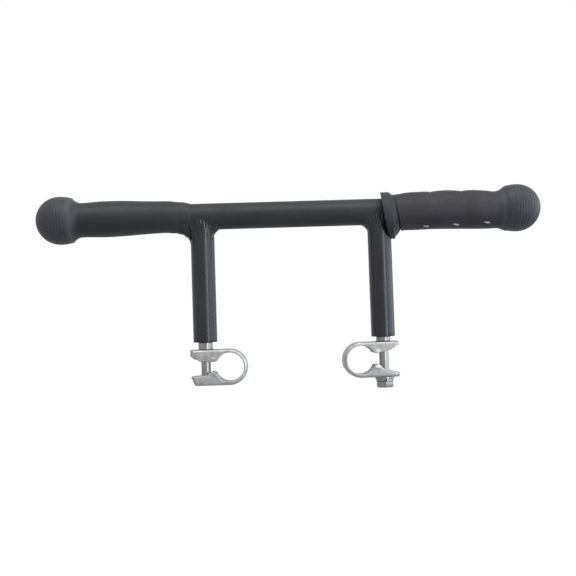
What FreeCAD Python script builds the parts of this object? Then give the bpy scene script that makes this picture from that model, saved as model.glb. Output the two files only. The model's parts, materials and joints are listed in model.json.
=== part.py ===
"""Clamp-on handlebar: a steel cross tube on two welded posts, each with a swivelling pipe clamp.

Millimetres, +Z up. The origin is the centre of the left clamp's seat. The bar runs along X,
the seats are open along Y, and the bar stands above them.
"""
import FreeCAD, Part
import math
import os
import Sketcher

X_AXIS = FreeCAD.Vector(1, 0, 0)
Y_AXIS = FreeCAD.Vector(0, 1, 0)
Z_AXIS = FreeCAD.Vector(0, 0, 1)
UPRIGHT = FreeCAD.Rotation()
ALONG_X = FreeCAD.Rotation(Y_AXIS, 90)
ALONG_Y = FreeCAD.Rotation(X_AXIS, -90)
QUARTER_TURN = FreeCAD.Rotation(Z_AXIS, 90)
HALF_TURN = FreeCAD.Rotation(Z_AXIS, 180)

SIZES = {
    "tube_radius": (11.1, "cross tube, 22.2 mm handlebar size"),
    "tube_wall": (1.8, "cross tube wall"),
    "tube_length": (378, "cross tube, hidden ends included"),
    "post_radius": (10, "post tube"),
    "post_wall": (2, "post tube wall"),
    "post_spacing": (150, "post axis to post axis"),
    "post_drop": (106, "bar axis down to the post's foot"),
    "weld_leg": (5, "post weld, leg of the fillet"),
    "insert_length": (16, "threaded insert in the post's foot"),
    "insert_recess": (1.5, "insert's face above the foot, filled by its weld"),
    "plug_length": (12, "plastic plug in the end of the cross tube"),
    "plug_rim": (2, "rim of the plug, outside the tube"),
    "bolt_radius": (4, "M8 bolt"),
    "thread_clearance": (0.05, "between bolt and insert, on the radius"),
    "bolt_length": (50, "under the head"),
    "hex_radius": (7.5, "M8 head, across the corners"),
    "head_height": (5.3, "M8 hexagon head"),
    "sunk_head_radius": (7.6, "countersunk head"),
    "sunk_head_depth": (3.6, "countersunk head"),
    "key_radius": (2.9, "hexagon socket in the countersunk head"),
    "key_depth": (3, "hexagon socket in the countersunk head"),
    "spacer_radius": (6, "round spacer between foot and clamp"),
    "left_spacer_height": (6, "left spacer"),
    "right_spacer_height": (4, "right spacer"),
    "slip_clearance": (0.2, "around the bolt in spacers and washers"),
    "washer_radius": (8, "M8 flat washer"),
    "washer_height": (1.6, "M8 flat washer"),
    "spring_washer_radius": (7.3, "M8 spring washer"),
    "spring_washer_height": (2, "M8 spring washer"),
    "spring_washer_gap": (1.5, "its split"),
    "ring_radius": (12, "seat of the clamp"),
    "strap_thickness": (3, "clamp plate"),
    "strap_width": (20, "clamp plate, along the seat"),
    "flange_thickness": (2.5, "side flanges of the ears"),
    "ring_offset": (20, "bolt axis to seat axis"),
    "ear_overhang": (12.5, "ear beyond the bolt axis"),
    "ear_hole_radius": (4.4, "bolt hole in the ears"),
    "throat_half": (4.4, "half the gap between the flanges, where it is least"),
    "mouth_half": (9.5, "half the gap between the flanges, at the free end"),
    "throat_length": (5, "straight stretch of the flanges beside the seat"),
    "ball_radius": (20.2, "ball end of the grip"),
    "ball_offset": (193.5, "middle of the bar to the ball's centre"),
    "shoulder_inset": (10, "ball's centre back to its shoulder"),
    "shoulder_run": (6, "length of the slope below the shoulder"),
    "collar_radius": (19.9, "collar of the right grip"),
    "collar_thickness": (10.6, "collar of the right grip"),
    "collar_drop": (2.6, "collar's centre below the bar's axis"),
    "collar_offset": (85.3, "middle of the bar to the collar's centre"),
    "collar_tilt": (9, "collar leans over the post, degrees"),
    "right_grip_start": (84, "middle of the bar to the right grip's inner end"),
    "right_grip_radius": (15.4, "right grip between the finger humps"),
    "finger_pitch": (26, "length of one finger hump"),
    "finger_hump_radius": (95, "curve of one finger hump, along the grip"),
    "first_finger": (97, "middle of the bar to the first finger hump"),
    "left_grip_start": (86.5, "middle of the bar to the left grip's inner end"),
    "left_lip_radius": (13.3, "left grip at its inner end"),
    "left_waist_offset": (105, "middle of the bar to the left grip's waist"),
    "left_waist_radius": (12.8, "left grip at its waist"),
    "left_swell_offset": (157, "middle of the bar to the left grip's thickest part"),
    "left_swell_radius": (14.9, "left grip at its thickest part"),
    "left_swell_curve": (420, "curve of the left grip, along its length"),
    "left_neck_offset": (172.5, "middle of the bar to the left grip's neck"),
    "left_neck_radius": (14.3, "left grip at its neck"),
}

MIDDLE_X = "Sizes.post_spacing / 2 - Sizes.ring_offset"
EAR_TOP = "Sizes.ring_radius + Sizes.strap_thickness"
FOOT_Z = f"{EAR_TOP} + Sizes.left_spacer_height"
BAR_Z = f"{FOOT_Z} + Sizes.post_drop"
WELD_Z = f"{BAR_Z} - Sizes.tube_radius - Sizes.weld_leg"
POST_X = {
    "left": "-Sizes.ring_offset",
    "right": "Sizes.post_spacing - Sizes.ring_offset",
}
CLAMP_X = {"left": "0", "right": "Sizes.post_spacing - 2 * Sizes.ring_offset"}
CLAMP_Z = {"left": "0", "right": "Sizes.left_spacer_height - Sizes.right_spacer_height"}
TUBE_WALLS = {"radius": "Sizes.tube_radius", "bore": "Sizes.tube_radius - Sizes.tube_wall"}

document = FreeCAD.newDocument("ClampOnHandlebar")
sheet = document.addObject("Spreadsheet::Sheet", "Sizes")
for row, (alias, (size, meaning)) in enumerate(SIZES.items(), start=1):
    sheet.set(f"A{row}", meaning)
    sheet.set(f"B{row}", str(size))
    sheet.setAlias(f"B{row}", alias)
document.recompute()


def value(expression):
    """Work out an expression with the sheet's cells."""
    return float(sheet.evalExpression(expression))


def place(piece, turn, x="0", y="0", z="0"):
    """Turn a piece and bind the place of its origin."""
    piece.Placement = FreeCAD.Placement(FreeCAD.Vector(), turn)
    for axis, expression in (("x", x), ("y", y), ("z", z)):
        piece.setExpression(f"Placement.Base.{axis}", expression)


def primitive(kind, name, sizes, turn=UPRIGHT, x="0", y="0", z="0"):
    """Add a Part primitive with bound sizes."""
    piece = document.addObject(f"Part::{kind}", name)
    for size, expression in sizes.items():
        piece.setExpression(size, expression)
    place(piece, turn, x, y, z)
    return piece


def cylinder(name, radius, length, turn=UPRIGHT, x="0", y="0", z="0"):
    """Add a cylinder that starts at the given point."""
    return primitive("Cylinder", name, {"Radius": radius, "Height": length}, turn, x, y, z)


def box(name, low, size):
    """Add a box from its low corner and its three lengths."""
    lengths = dict(zip(("Length", "Width", "Height"), size))
    return primitive("Box", name, lengths, UPRIGHT, *low)


def cut(name, base, tool):
    """Take a tool away from a base."""
    piece = document.addObject("Part::Cut", name)
    piece.Base = base
    piece.Tool = tool
    return piece


def join(name, pieces, kind="Part::MultiFuse"):
    """Join pieces, or keep what they share."""
    piece = document.addObject(kind, name)
    piece.Shapes = pieces
    return piece


def plane_sketch(body, name, role):
    """Add a sketch on one of the body's own origin planes."""
    sketch = body.newObject("Sketcher::SketchObject", name)
    planes = [item for item in body.Origin.OriginFeatures if item.Role == role]
    sketch.AttachmentSupport = [(planes[0], "")]
    sketch.MapMode = "FlatFace"
    return sketch


def bind(sketch, constraint, expression):
    """Add a constraint and bind its size."""
    index = sketch.addConstraint(constraint)
    sketch.setExpression(f"Constraints[{index}]", expression)


def circle(sketch, radius):
    """Draw a circle about the sketch's origin."""
    shape = Part.Circle(FreeCAD.Vector(), Z_AXIS, value(radius))
    index = sketch.addGeometry(shape)
    sketch.addConstraint(Sketcher.Constraint("Coincident", index, 3, -1, 1))
    bind(sketch, Sketcher.Constraint("Radius", index, value(radius)), radius)


def pin_point(sketch, edge, end, x, y):
    """Fix one end of an edge at a bound point."""
    for kind, expression, own_axis in (("DistanceX", x, -2), ("DistanceY", y, -1)):
        size = value(expression)
        if abs(size) < 1e-9:
            sketch.addConstraint(Sketcher.Constraint("PointOnObject", edge, end, own_axis))
        else:
            bind(sketch, Sketcher.Constraint(kind, -1, 1, edge, end, size), expression)


def hump(start, end, radius):
    """Make the arc that rises between two points, drawn from the second to the first."""
    chord = end - start
    half = chord.Length / 2
    across = FreeCAD.Vector(-chord.y, chord.x, 0).normalize()
    centre = (start + end) / 2 - across * math.sqrt(radius ** 2 - half ** 2)
    first = math.atan2(end.y - centre.y, end.x - centre.x)
    last = math.atan2(start.y - centre.y, start.x - centre.x)
    return Part.ArcOfCircle(Part.Circle(centre, Z_AXIS, radius), first, last)


def outline(sketch, corners, arcs):
    """Close a loop through bound corners; arcs names the radius of each edge that is curved."""
    points = [FreeCAD.Vector(value(x), value(y), 0) for x, y in corners]
    count = len(points)
    ends = []
    for edge, start in enumerate(points):
        end = points[(edge + 1) % count]
        if edge in arcs:
            sketch.addGeometry(hump(start, end, value(arcs[edge])))
            ends.append((2, 1))
        else:
            sketch.addGeometry(Part.LineSegment(start, end))
            ends.append((1, 2))
    for edge, (x, y) in enumerate(corners):
        following = (edge + 1) % count
        joint = (edge, ends[edge][1], following, ends[following][0])
        sketch.addConstraint(Sketcher.Constraint("Coincident", *joint))
        pin_point(sketch, edge, ends[edge][0], x, y)
    for edge, radius in arcs.items():
        bind(sketch, Sketcher.Constraint("Radius", edge, value(radius)), radius)


def ring(label, radius, bore, height, turn=UPRIGHT, x="0", y="0", z="0"):
    """Make a round piece with a round hole as a padded sketch."""
    body = document.addObject("PartDesign::Body", label)
    sketch = plane_sketch(body, f"{label}_section", "XY_Plane")
    circle(sketch, radius)
    circle(sketch, bore)
    pad = body.newObject("PartDesign::Pad", f"{label}_pad")
    pad.Profile = sketch
    pad.setExpression("Length", height)
    place(body, turn, x, y, z)
    return body


def turned(label, corners, arcs, turn=UPRIGHT, x="0", y="0", z="0"):
    """Make a piece as an outline in the XZ plane, turned about its own X axis."""
    body = document.addObject("PartDesign::Body", label)
    sketch = plane_sketch(body, f"{label}_outline", "XZ_Plane")
    outline(sketch, corners, arcs)
    turning = body.newObject("PartDesign::Revolution", f"{label}_turning")
    turning.Profile = sketch
    turning.ReferenceAxis = (sketch, ["H_Axis"])
    turning.Angle = 360
    place(body, turn, x, y, z)
    return body


def cross_tube():
    """Make the long tube that joins the two posts and carries the grips."""
    start = f"{MIDDLE_X} - Sizes.tube_length / 2"
    return ring("cross_tube", **TUBE_WALLS, height="Sizes.tube_length", turn=ALONG_X, x=start, z=BAR_Z)


def tube_plug(side):
    """Make the plastic plug that closes one end of the cross tube."""
    inner = "Sizes.tube_length / 2 - Sizes.plug_length"
    face = "Sizes.tube_length / 2"
    rim = f"{face} + Sizes.plug_rim"
    corners = [
        (inner, "0"),
        (inner, TUBE_WALLS["bore"]),
        (face, TUBE_WALLS["bore"]),
        (face, "Sizes.tube_radius"),
        (rim, "Sizes.tube_radius"),
        (rim, "0"),
    ]
    turn = HALF_TURN if side == "left" else UPRIGHT
    return turned(f"{side}_tube_plug", corners, {}, turn, x=MIDDLE_X, z=BAR_Z)


def post(side):
    """Make one post: a tube with its top cut to sit on the cross tube."""
    name = f"{side}_post"
    where = {"x": POST_X[side], "z": FOOT_Z}
    outer = cylinder(f"{name}_outer", "Sizes.post_radius", "Sizes.post_drop", **where)
    inner = cylinder(f"{name}_inner", "Sizes.post_radius - Sizes.post_wall", "Sizes.post_drop", **where)
    saddle = seat_on_bar(f"{name}_saddle", side, "Sizes.tube_radius")
    return cut(name, outer, join(f"{name}_hollow", [inner, saddle]))


def seat_on_bar(name, side, radius):
    """Add a cylinder along the bar, wide enough to trim what meets it at one post."""
    start = f"{POST_X[side]} - Sizes.ring_offset * 2"
    return cylinder(name, radius, "Sizes.ring_offset * 4", ALONG_X, start, z=BAR_Z)


def weld_cone(name, side):
    """Add the cone that gives the post's weld its slope."""
    spread = {
        "Radius1": "Sizes.post_radius",
        "Radius2": "Sizes.post_radius + 2 * Sizes.weld_leg",
        "Height": "2 * Sizes.weld_leg",
    }
    return primitive("Cone", name, spread, x=POST_X[side], z=WELD_Z)


def post_stem(name, side):
    """Add the post's outside as a solid cylinder."""
    return cylinder(name, "Sizes.post_radius", "Sizes.post_drop", x=POST_X[side], z=FOOT_Z)


def post_weld(side):
    """Make the weld fillet round the joint of post and cross tube."""
    name = f"{side}_post_weld"
    skin = seat_on_bar(f"{name}_skin", side, "Sizes.tube_radius + Sizes.weld_leg * 0.6")
    reach = "Sizes.post_radius + Sizes.weld_leg"
    near = box(
        f"{name}_reach",
        (f"{POST_X[side]} - ({reach})", "-2 * Sizes.tube_radius", WELD_Z),
        (f"2 * ({reach})", "4 * Sizes.tube_radius", "2 * Sizes.weld_leg"),
    )
    bead = join(f"{name}_bead", [weld_cone(f"{name}_cone", side), skin, near], "Part::MultiCommon")
    tube = seat_on_bar(f"{name}_tube", side, "Sizes.tube_radius")
    return cut(name, bead, join(f"{name}_core", [tube, post_stem(f"{name}_stem", side)]))


def clear_of_post(side, grip):
    """Take the post and its weld out of a grip's inner end."""
    name = f"{side}_grip"
    space = [weld_cone(f"{name}_weld_space", side), post_stem(f"{name}_post_space", side)]
    return cut(name, grip, join(f"{name}_clearance", space))


def insert(side):
    """Make the threaded steel insert in the post's foot."""
    return ring(
        f"{side}_insert",
        "Sizes.post_radius - Sizes.post_wall",
        "Sizes.bolt_radius + Sizes.thread_clearance",
        "Sizes.insert_length",
        x=POST_X[side],
        z=f"{FOOT_Z} + Sizes.insert_recess",
    )


def insert_weld(side):
    """Make the flat ring of weld that fills the foot below the insert."""
    return ring(
        f"{side}_insert_weld",
        "Sizes.post_radius - Sizes.post_wall",
        "Sizes.bolt_radius + Sizes.slip_clearance",
        "Sizes.insert_recess",
        x=POST_X[side],
        z=FOOT_Z,
    )


def ball_corners(slope_start_radius):
    """List the corners from the grip's slope below the ball to the end of the blind bore."""
    shoulder = "Sizes.ball_offset - Sizes.shoulder_inset"
    bore_end = "Sizes.tube_length / 2 + Sizes.plug_rim"
    return [
        (f"{shoulder} - Sizes.shoulder_run", slope_start_radius),
        (shoulder, "sqrt(Sizes.ball_radius ^ 2 - Sizes.shoulder_inset ^ 2)"),
        ("Sizes.ball_offset + Sizes.ball_radius", "0"),
        (bore_end, "0"),
        (bore_end, "Sizes.tube_radius"),
    ]


def left_grip():
    """Make the smooth grip: a waist, a long swell and a ball."""
    corners = [
        ("Sizes.left_grip_start", "Sizes.tube_radius"),
        ("Sizes.left_grip_start", "Sizes.left_lip_radius"),
        ("Sizes.left_waist_offset", "Sizes.left_waist_radius"),
        ("Sizes.left_swell_offset", "Sizes.left_swell_radius"),
        ("Sizes.left_neck_offset", "Sizes.left_neck_radius"),
    ] + ball_corners("Sizes.left_swell_radius")
    arcs = {2: "Sizes.left_swell_curve", 6: "Sizes.ball_radius"}
    sleeve = turned("left_grip_sleeve", corners, arcs, HALF_TURN, x=MIDDLE_X, z=BAR_Z)
    return clear_of_post("left", sleeve)


def right_grip():
    """Make the grip with three finger humps, a ball and a collar that leans over the post."""
    humps = [
        (f"Sizes.first_finger + {finger} * Sizes.finger_pitch", "Sizes.right_grip_radius")
        for finger in range(4)
    ]
    corners = [
        ("Sizes.right_grip_start", "Sizes.tube_radius"),
        ("Sizes.right_grip_start", "Sizes.right_grip_radius"),
    ] + humps + ball_corners("Sizes.right_grip_radius")
    arcs = {edge: "Sizes.finger_hump_radius" for edge in (2, 3, 4)}
    arcs[7] = "Sizes.ball_radius"
    sleeve = turned("right_grip_sleeve", corners, arcs, x=MIDDLE_X, z=BAR_Z)
    lean = FreeCAD.Rotation(Y_AXIS, 90 - value("Sizes.collar_tilt"))
    collar = cylinder(
        "right_grip_collar",
        "Sizes.collar_radius",
        "Sizes.collar_thickness",
        lean,
        f"{MIDDLE_X} + Sizes.collar_offset - Sizes.collar_thickness / 2",
        z=f"{BAR_Z} - Sizes.collar_drop - Sizes.collar_thickness / 2 * tan(Sizes.collar_tilt)",
    )
    tube = seat_on_bar("right_grip_bore", "right", "Sizes.tube_radius")
    solid = join("right_grip_solid", [sleeve, cut("right_grip_flange", collar, tube)])
    return clear_of_post("right", solid)


def clamp(side):
    """Make one clamp: a bent strap whose two ears have side flanges."""
    name = f"{side}_clamp"
    width = "Sizes.strap_width"
    front = f"-{width} / 2"
    reach = "Sizes.ring_offset + Sizes.ear_overhang"
    outer = f"({EAR_TOP})"
    around = {"turn": ALONG_Y, "y": front}
    bend = cylinder(f"{name}_bend", outer, width, **around)
    ears = box(f"{name}_ears", (f"-({reach})", front, f"-{outer}"), (reach, width, f"2 * {outer}"))
    seat = cylinder(f"{name}_seat", "Sizes.ring_radius", width, **around)
    channel = box(
        f"{name}_channel",
        (f"-({reach})", f"{front} + Sizes.flange_thickness", "-Sizes.ring_radius"),
        (reach, f"{width} - 2 * Sizes.flange_thickness", "2 * Sizes.ring_radius"),
    )
    mouth_start = "Sizes.ring_radius + Sizes.throat_length"
    throat = box(
        f"{name}_throat",
        (f"-({mouth_start})", front, "-Sizes.throat_half"),
        (mouth_start, width, "2 * Sizes.throat_half"),
    )
    flare = {
        "Xmin": front,
        "Xmax": f"{width} / 2",
        "X2min": front,
        "X2max": f"{width} / 2",
        "Ymin": mouth_start,
        "Ymax": reach,
        "Zmin": "-Sizes.throat_half",
        "Zmax": "Sizes.throat_half",
        "Z2min": "-Sizes.mouth_half",
        "Z2max": "Sizes.mouth_half",
    }
    mouth = primitive("Wedge", f"{name}_mouth", flare, QUARTER_TURN)
    hole = cylinder(f"{name}_hole", "Sizes.ear_hole_radius", f"2 * {outer}",
                    x="-Sizes.ring_offset", z=f"-{outer}")
    hollows = [seat, channel, throat, mouth, hole]
    if side == "left":
        hollows.append(sunk_cone(f"{name}_sink", "Sizes.slip_clearance"))
    piece = cut(name, join(f"{name}_blank", [bend, ears]), join(f"{name}_hollows", hollows))
    turn = UPRIGHT if side == "left" else HALF_TURN
    place(piece, turn, CLAMP_X[side], z=CLAMP_Z[side])
    return piece


def sunk_cone(name, clearance):
    """Add the cone of a countersunk head, flush with the underside of the left clamp."""
    cone = {
        "Radius1": f"Sizes.sunk_head_radius + {clearance}",
        "Radius2": f"Sizes.bolt_radius + {clearance}",
        "Height": "Sizes.sunk_head_depth",
    }
    return primitive("Cone", name, cone, x="-Sizes.ring_offset", z=f"-({EAR_TOP})")


def left_bolt():
    """Make the left bolt: a countersunk head, flush with the ear, with a hexagon socket."""
    low = f"-({EAR_TOP})"
    head = sunk_cone("left_bolt_head", "0")
    shank = cylinder("left_bolt_shank", "Sizes.bolt_radius", "Sizes.bolt_length",
                     x=POST_X["left"], z=low)
    key = {"Circumradius": "Sizes.key_radius", "Height": "Sizes.key_depth"}
    socket = primitive("Prism", "left_bolt_socket", key, x=POST_X["left"], z=low)
    return cut("left_bolt", join("left_bolt_blank", [head, shank]), socket)


def right_bolt():
    """Make the right bolt: a hexagon head below its two washers."""
    seat = f"{CLAMP_Z['right']} - ({EAR_TOP}) - Sizes.washer_height - Sizes.spring_washer_height"
    hexagon = {"Circumradius": "Sizes.hex_radius", "Height": "Sizes.head_height"}
    low = f"{seat} - Sizes.head_height"
    head = primitive("Prism", "right_bolt_hexagon", hexagon, x=POST_X["right"], z=low)
    rounding = {
        "Radius1": "Sizes.hex_radius * 0.85",
        "Radius2": "Sizes.hex_radius * 0.85 + Sizes.head_height",
        "Height": "Sizes.head_height",
    }
    cone = primitive("Cone", "right_bolt_rounding", rounding, x=POST_X["right"], z=low)
    shank = cylinder("right_bolt_shank", "Sizes.bolt_radius", "Sizes.bolt_length",
                     x=POST_X["right"], z=seat)
    return join("right_bolt", [join("right_bolt_head", [head, cone], "Part::MultiCommon"), shank])


def spacer(side):
    """Make the round spacer between the post's foot and the clamp."""
    height = f"Sizes.{side}_spacer_height"
    bore = "Sizes.bolt_radius + Sizes.slip_clearance"
    return ring(f"{side}_spacer", "Sizes.spacer_radius", bore, height,
                x=POST_X[side], z=f"{FOOT_Z} - {height}")


def flat_washer():
    """Make the flat washer under the right clamp."""
    low = f"{CLAMP_Z['right']} - ({EAR_TOP}) - Sizes.washer_height"
    bore = "Sizes.bolt_radius + Sizes.slip_clearance"
    return ring("right_flat_washer", "Sizes.washer_radius", bore, "Sizes.washer_height",
                x=POST_X["right"], z=low)


def spring_washer():
    """Make the split spring washer between the flat washer and the bolt's head."""
    low = f"{CLAMP_Z['right']} - ({EAR_TOP}) - Sizes.washer_height - Sizes.spring_washer_height"
    bore = "Sizes.bolt_radius + Sizes.slip_clearance"
    coil = ring("right_spring_washer_coil", "Sizes.spring_washer_radius", bore,
                "Sizes.spring_washer_height", x=POST_X["right"], z=low)
    split = box(
        "right_spring_washer_split",
        (f"{POST_X['right']} - Sizes.spring_washer_gap / 2", "-Sizes.washer_radius", low),
        ("Sizes.spring_washer_gap", "Sizes.washer_radius", "Sizes.spring_washer_height"),
    )
    return cut("right_spring_washer", coil, split)


def check(pieces):
    """Stop if any object failed or any piece is not one sound solid."""
    failed = [item.Name for item in document.Objects if {"Invalid", "Error"} & set(item.State)]
    if failed:
        raise RuntimeError(f"failed objects: {failed}")
    for piece in pieces:
        shape = piece.Shape
        if shape.isNull() or not shape.isValid() or len(shape.Solids) != 1:
            raise RuntimeError(f"{piece.Label} is not one sound solid")


def main():
    """Build every piece, check it and write its file."""
    pieces = [cross_tube(), left_grip(), right_grip(), left_bolt(), right_bolt()]
    for side in ("left", "right"):
        pieces += [maker(side) for maker in (tube_plug, post, post_weld, insert, insert_weld)]
        pieces += [spacer(side), clamp(side)]
    pieces += [flat_washer(), spring_washer()]
    document.recompute()
    check(pieces)
    os.makedirs("parts", exist_ok=True)
    for piece in pieces:
        piece.Label = piece.Name
        piece.Shape.exportStep(f"parts/{piece.Label}.step")
        low, high = piece.Shape.BoundBox.XMin, piece.Shape.BoundBox.XMax
        print(f"{piece.Label:22s} volume {piece.Shape.Volume:10.1f}  x {low:7.1f} to {high:7.1f}")


main()
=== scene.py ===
"""Looks of the clamp-on handlebar: rubber grips, painted tube and posts, weld beads and plated clamps."""

import json
import math
import random

import bmesh
import bpy
from mathutils import Matrix, Vector, noise


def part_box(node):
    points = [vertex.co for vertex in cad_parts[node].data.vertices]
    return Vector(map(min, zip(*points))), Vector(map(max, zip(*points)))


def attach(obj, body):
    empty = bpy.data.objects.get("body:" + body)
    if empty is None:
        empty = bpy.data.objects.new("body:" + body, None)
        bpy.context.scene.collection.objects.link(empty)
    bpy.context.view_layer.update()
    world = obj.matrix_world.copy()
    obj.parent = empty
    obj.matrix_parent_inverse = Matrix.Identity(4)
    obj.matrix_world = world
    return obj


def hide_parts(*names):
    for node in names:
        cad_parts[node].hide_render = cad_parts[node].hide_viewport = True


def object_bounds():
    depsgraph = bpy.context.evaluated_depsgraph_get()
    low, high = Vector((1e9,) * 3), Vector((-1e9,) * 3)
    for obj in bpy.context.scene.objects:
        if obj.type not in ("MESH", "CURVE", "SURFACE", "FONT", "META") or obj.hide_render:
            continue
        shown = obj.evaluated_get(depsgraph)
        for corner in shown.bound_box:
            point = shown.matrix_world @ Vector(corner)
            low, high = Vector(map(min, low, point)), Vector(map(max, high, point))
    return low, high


MM = 0.001
FULL_TURN = 2 * math.pi
SIDES = ("left", "right")
UP = Vector((0, 0, 1))

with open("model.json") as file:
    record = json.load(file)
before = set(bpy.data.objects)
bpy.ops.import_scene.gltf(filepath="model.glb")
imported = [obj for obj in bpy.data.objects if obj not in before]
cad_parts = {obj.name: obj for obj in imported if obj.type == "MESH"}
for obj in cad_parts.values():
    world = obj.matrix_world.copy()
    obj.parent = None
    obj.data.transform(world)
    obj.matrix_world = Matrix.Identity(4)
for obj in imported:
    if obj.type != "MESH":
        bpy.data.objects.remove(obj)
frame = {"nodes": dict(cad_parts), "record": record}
cad_low, cad_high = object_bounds()

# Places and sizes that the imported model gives.
tube_low, tube_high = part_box("cross_tube")
BAR_RADIUS = (tube_high.z - tube_low.z) / 2
BAR_CENTRE = (tube_low + tube_high) / 2
TUBE_END = (tube_high.x - tube_low.x) / 2
POST_LOW = {side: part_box(f"{side}_post")[0] for side in SIDES}
POST_HIGH = {side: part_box(f"{side}_post")[1] for side in SIDES}
POST_RADIUS = (POST_HIGH["left"].x - POST_LOW["left"].x) / 2
POST_X = {side: (POST_LOW[side].x + POST_HIGH[side].x) / 2 for side in SIDES}
FOOT_Z = POST_LOW["left"].z
MOUNTS = {mount["name"]: mount for mount in frame["record"]["mounts"]}
SEAT = {side: Vector(MOUNTS[f"{side}_clamp_seat"]["pos_m"]) for side in SIDES}
SEAT_RADIUS = MOUNTS["left_clamp_seat"]["dims"]["r_mm"] * MM
STRAP_WIDTH = MOUNTS["left_clamp_seat"]["dims"]["length_mm"] * MM
OUTWARD = {"left": -1, "right": 1}
CLEAR_BORE = 4.2 * MM


# ---------------------------------------------------------------- mesh helpers

def grid_mesh(name, rows, close_rows=False, close_columns=True, cap_ends=False):
    """Make a mesh from rows of points; a row of one point is a pole."""
    points = [point for row in rows for point in row]
    starts = [0]
    for row in rows:
        starts.append(starts[-1] + len(row))
    faces = []
    pairs = len(rows) if close_rows else len(rows) - 1
    for index in range(pairs):
        following = (index + 1) % len(rows)
        here, there = len(rows[index]), len(rows[following])
        faces += row_faces(starts[index], here, starts[following], there, close_columns)
    if cap_ends:
        first = list(range(starts[0], starts[1]))
        last = list(range(starts[-2], starts[-1]))
        faces += [first[::-1], last]
    mesh = bpy.data.meshes.new(name)
    mesh.from_pydata(points, [], faces)
    mesh.validate()
    turn_outward(mesh)
    return mesh


def row_faces(start, count, next_start, next_count, closed):
    """List the faces between two neighbouring rows."""
    wide = max(count, next_count)
    steps = wide if closed else wide - 1
    faces = []
    for step in range(steps):
        after = (step + 1) % wide
        if count == 1:
            faces.append((start, next_start + after, next_start + step))
        elif next_count == 1:
            faces.append((start + step, start + after, next_start))
        else:
            faces.append((start + step, start + after, next_start + after, next_start + step))
    return faces


def turn_outward(mesh):
    """Make every face of a mesh look outward."""
    work = bmesh.new()
    work.from_mesh(mesh)
    bmesh.ops.recalc_face_normals(work, faces=work.faces)
    work.to_mesh(mesh)
    work.free()


def add_piece(name, mesh, body, node, material, sharp=38):
    """Put a finished mesh in the scene, on its body, in place of its CAD node.

    An edge stays sharp where its faces turn by more than sharp, in degrees.
    """
    piece = bpy.data.objects.new(name, mesh)
    bpy.context.scene.collection.objects.link(piece)
    mesh.materials.clear()
    mesh.materials.append(material)
    mesh.shade_smooth()
    mesh.set_sharp_from_angle(angle=math.radians(sharp))
    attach(piece, body)
    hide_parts(node)


def lathe(profile, centre, along, count):
    """Turn a profile of (distance, radius) about an axis and give the rows of points."""
    side = Vector((0, 0, 1)) if abs(along.z) < 0.5 else Vector((1, 0, 0))
    other = along.cross(side)
    rows = []
    for distance, radius in profile:
        if radius <= 0:
            rows.append([centre + along * distance])
            continue
        ring = []
        for step in range(count):
            angle = FULL_TURN * step / count
            out = side * math.cos(angle) + other * math.sin(angle)
            ring.append(centre + along * distance + out * radius)
        rows.append(ring)
    return rows


def rounded(corners, radius, steps=4):
    """Round each inner corner of an open profile of (distance, radius) points.

    A rounding takes less than half of the line on either side of its corner.
    """
    share = 0.45
    path = [corners[0]]
    for before, corner, after in zip(corners, corners[1:], corners[2:]):
        here = Vector(corner)
        back = Vector(before) - here
        on = Vector(after) - here
        reach = min(radius, back.length * share, on.length * share)
        start = here + back.normalized() * reach
        end = here + on.normalized() * reach
        for step in range(steps + 1):
            t = step / steps
            path.append(tuple(start * (1 - t) ** 2 + here * 2 * t * (1 - t) + end * t ** 2))
    path.append(corners[-1])
    return path


def smooth_step(low, high, value):
    """Rise smoothly from 0 at low to 1 at high."""
    t = min(max((value - low) / (high - low), 0), 1)
    return t * t * (3 - 2 * t)


def through(points, value):
    """Read a smooth monotone curve through (place, height) points."""
    if value <= points[0][0]:
        return points[0][1]
    for (x0, y0), (x1, y1) in zip(points, points[1:]):
        if value <= x1:
            return y0 + (y1 - y0) * smooth_step(x0, x1, value)
    return points[-1][1]


def join_parts(name, rows_list):
    """Join several sets of rows into one mesh."""
    whole = bmesh.new()
    for rows, options in rows_list:
        part = grid_mesh(f"{name}_part", rows, **options)
        whole.from_mesh(part)
        bpy.data.meshes.remove(part)
    mesh = bpy.data.meshes.new(name)
    whole.to_mesh(mesh)
    whole.free()
    return mesh


# ---------------------------------------------------------------- materials

def new_material(name, base, roughness, metallic=0.0, **sockets):
    """Start a material and give its node tree and shader."""
    material = bpy.data.materials.new(name)
    material.use_nodes = True
    tree = material.node_tree
    shader = tree.nodes["Principled BSDF"]
    shader.inputs["Base Color"].default_value = (*base, 1)
    shader.inputs["Roughness"].default_value = roughness
    shader.inputs["Metallic"].default_value = metallic
    for socket, value in sockets.items():
        shader.inputs[socket.replace("_", " ")].default_value = value
    return material, tree, shader


def noise_node(tree, scale, detail=4.0, rough=0.5, stretch=(1, 1, 1)):
    """Add 3-D noise in object space and give its value."""
    place = tree.nodes.new("ShaderNodeTexCoord")
    mapping = tree.nodes.new("ShaderNodeMapping")
    mapping.inputs["Scale"].default_value = stretch
    texture = tree.nodes.new("ShaderNodeTexNoise")
    texture.inputs["Scale"].default_value = scale
    texture.inputs["Detail"].default_value = detail
    texture.inputs["Roughness"].default_value = rough
    tree.links.new(place.outputs["Object"], mapping.inputs["Vector"])
    tree.links.new(mapping.outputs["Vector"], texture.inputs["Vector"])
    return texture.outputs["Fac"]


def ramp_node(tree, value, stops):
    """Add a colour ramp; stops are (place, colour)."""
    ramp = tree.nodes.new("ShaderNodeValToRGB")
    elements = ramp.color_ramp.elements
    while len(elements) < len(stops):
        elements.new(0.5)
    for element, (place, colour) in zip(elements, stops):
        element.position = place
        element.color = (*colour, 1)
    tree.links.new(value, ramp.inputs["Fac"])
    return ramp.outputs["Color"]


def grey(level):
    """Give a grey colour."""
    return (level, level, level)


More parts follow.
